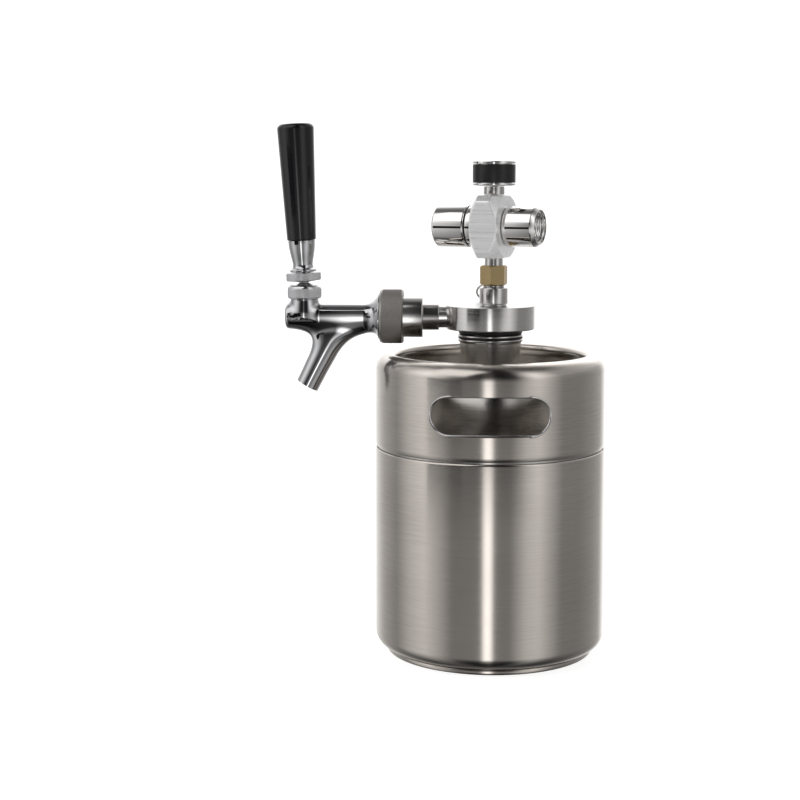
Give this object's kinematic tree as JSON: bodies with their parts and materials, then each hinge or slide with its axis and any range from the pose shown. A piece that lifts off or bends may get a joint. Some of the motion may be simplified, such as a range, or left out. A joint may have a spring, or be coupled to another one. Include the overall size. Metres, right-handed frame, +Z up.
{
  "type": "beer keg",
  "caption": "Small stainless beer keg with a screw-in tapping head, a chrome faucet with a black handle and a gas regulator with a pressure knob.",
  "frame": {"origin": "on the standing surface, halfway between the keg's right side and the tip of the handle; the keg's axis stands 33.5 mm to the right of it", "axes": "+Z up along the keg's axis; -X towards the faucet; -Y is the front, with one handle slot and the gas post"},
  "size_m": [0.223, 0.156, 0.3592],
  "materials": {
    "keg_steel": "horizontally brushed stainless sheet",
    "dome_steel": "satin pressed stainless sheet",
    "turned_steel": "satin turned stainless",
    "knurled_steel": "matt diamond knurl",
    "faucet_chrome": "mirror chrome",
    "knurled_chrome": "chromed diamond knurl",
    "regulator_chrome": "polished nickel chrome",
    "block_silver": "bright metal with a brushed face",
    "nut_brass": "matt brass",
    "black_plastic": "glossy black",
    "sleeve_plastic": "satin black",
    "seal_rubber": "soft black rubber"
  },
  "bodies": {
    "keg": {"vessel_shell": "keg_steel", "vessel_dome": "dome_steel", "top_ring": "keg_steel", "foot_ring": "keg_steel", "neck": "turned_steel"},
    "head": {"head_disc": "turned_steel", "head_plug": "turned_steel", "lid_gasket": "seal_rubber", "dip_tube": "turned_steel", "dip_tube_seal": "seal_rubber", "gas_post": "turned_steel", "gas_poppet_spring": "turned_steel", "relief_valve_body": "turned_steel", "relief_spring": "turned_steel", "shank": "turned_steel", "shank_seal": "seal_rubber", "coupling_washer": "seal_rubber", "faucet_body": "faucet_chrome", "bonnet": "knurled_chrome", "friction_washer": "seal_rubber", "ball_washer": "seal_rubber"},
    "coupling_nut": {"coupling_nut": "knurled_steel"},
    "lever": {"faucet_lever": "turned_steel", "lever_collar": "knurled_chrome", "handle_ferrule": "faucet_chrome", "handle_grip": "black_plastic"},
    "shaft": {"faucet_shaft": "turned_steel", "shaft_seat_washer": "seal_rubber"},
    "union_nut": {"union_nut": "nut_brass"},
    "regulator": {"union_washer": "seal_rubber", "regulator_outlet_stem": "turned_steel", "regulator_block": "block_silver", "spring_cap": "regulator_chrome", "cap_seal_ring": "seal_rubber", "regulator_piston": "nut_brass", "regulator_spring": "turned_steel", "cartridge_socket": "regulator_chrome", "piercing_pin": "turned_steel", "socket_seal": "seal_rubber", "knob_stem": "turned_steel"},
    "knob": {"knob_core": "regulator_chrome", "knob_sleeve": "sleeve_plastic"},
    "needle": {"valve_needle": "nut_brass"},
    "relief_stem": {"relief_stem": "turned_steel"},
    "pull_ring": {"relief_pull_ring": "turned_steel"},
    "poppet": {"gas_poppet": "nut_brass"}
  },
  "joints": [
    {"name": "head_lift", "type": "slide", "parent": "keg", "child": "head", "axis": [0, 0, 1], "range_m": [0, 0.206]},
    {"name": "coupling_nut_spin", "type": "hinge", "parent": "head", "child": "coupling_nut", "pos_m": [-0.03349, 0, 0.2281], "axis": [-1, 0, 0], "continuous": true},
    {"name": "lever_tilt", "type": "hinge", "parent": "head", "child": "lever", "pos_m": [-0.09329, 0, 0.2434], "axis": [0, -1, 0], "range_deg": [0, 12]},
    {"name": "shaft_slide", "type": "slide", "parent": "head", "child": "shaft", "axis": [1, 0, 0], "range_m": [0, 0.0033]},
    {"name": "union_nut_spin", "type": "hinge", "parent": "head", "child": "union_nut", "pos_m": [0.03551, -0.011, 0.257], "axis": [0, 0, 1], "continuous": true},
    {"name": "regulator_swivel", "type": "hinge", "parent": "head", "child": "regulator", "pos_m": [0.03551, -0.011, 0.2664], "axis": [0, 0, 1], "continuous": true},
    {"name": "knob_turn", "type": "hinge", "parent": "regulator", "child": "knob", "pos_m": [0.03551, -0.011, 0.3167], "axis": [0, 0, -1], "range_deg": [0, 540]},
    {"name": "needle_slide", "type": "slide", "parent": "regulator", "child": "needle", "axis": [0, 0, -1], "range_m": [0, 0.0016]},
    {"name": "relief_pull", "type": "slide", "parent": "head", "child": "relief_stem", "axis": [0, 0, 1], "range_m": [0, 0.002], "stiffness_N_per_m": 600, "springref_m": -0.001, "deforming": ["relief_spring"]},
    {"name": "ring_swing", "type": "hinge", "parent": "relief_stem", "child": "pull_ring", "pos_m": [0.03371, 0.0132, 0.2502], "axis": [1, 0, 0], "range_deg": [0, 130]},
    {"name": "poppet_press", "type": "slide", "parent": "head", "child": "poppet", "axis": [0, 0, -1], "range_m": [0, 0.0015], "stiffness_N_per_m": 300, "springref_m": -0.001, "deforming": ["gas_poppet_spring"]}
  ],
  "couplings": [
    {"joint": "shaft_slide", "follows": "lever_tilt", "m_per_rad": 0.0153},
    {"joint": "needle_slide", "follows": "knob_turn", "m_per_rad": 0.00015915}
  ]
}
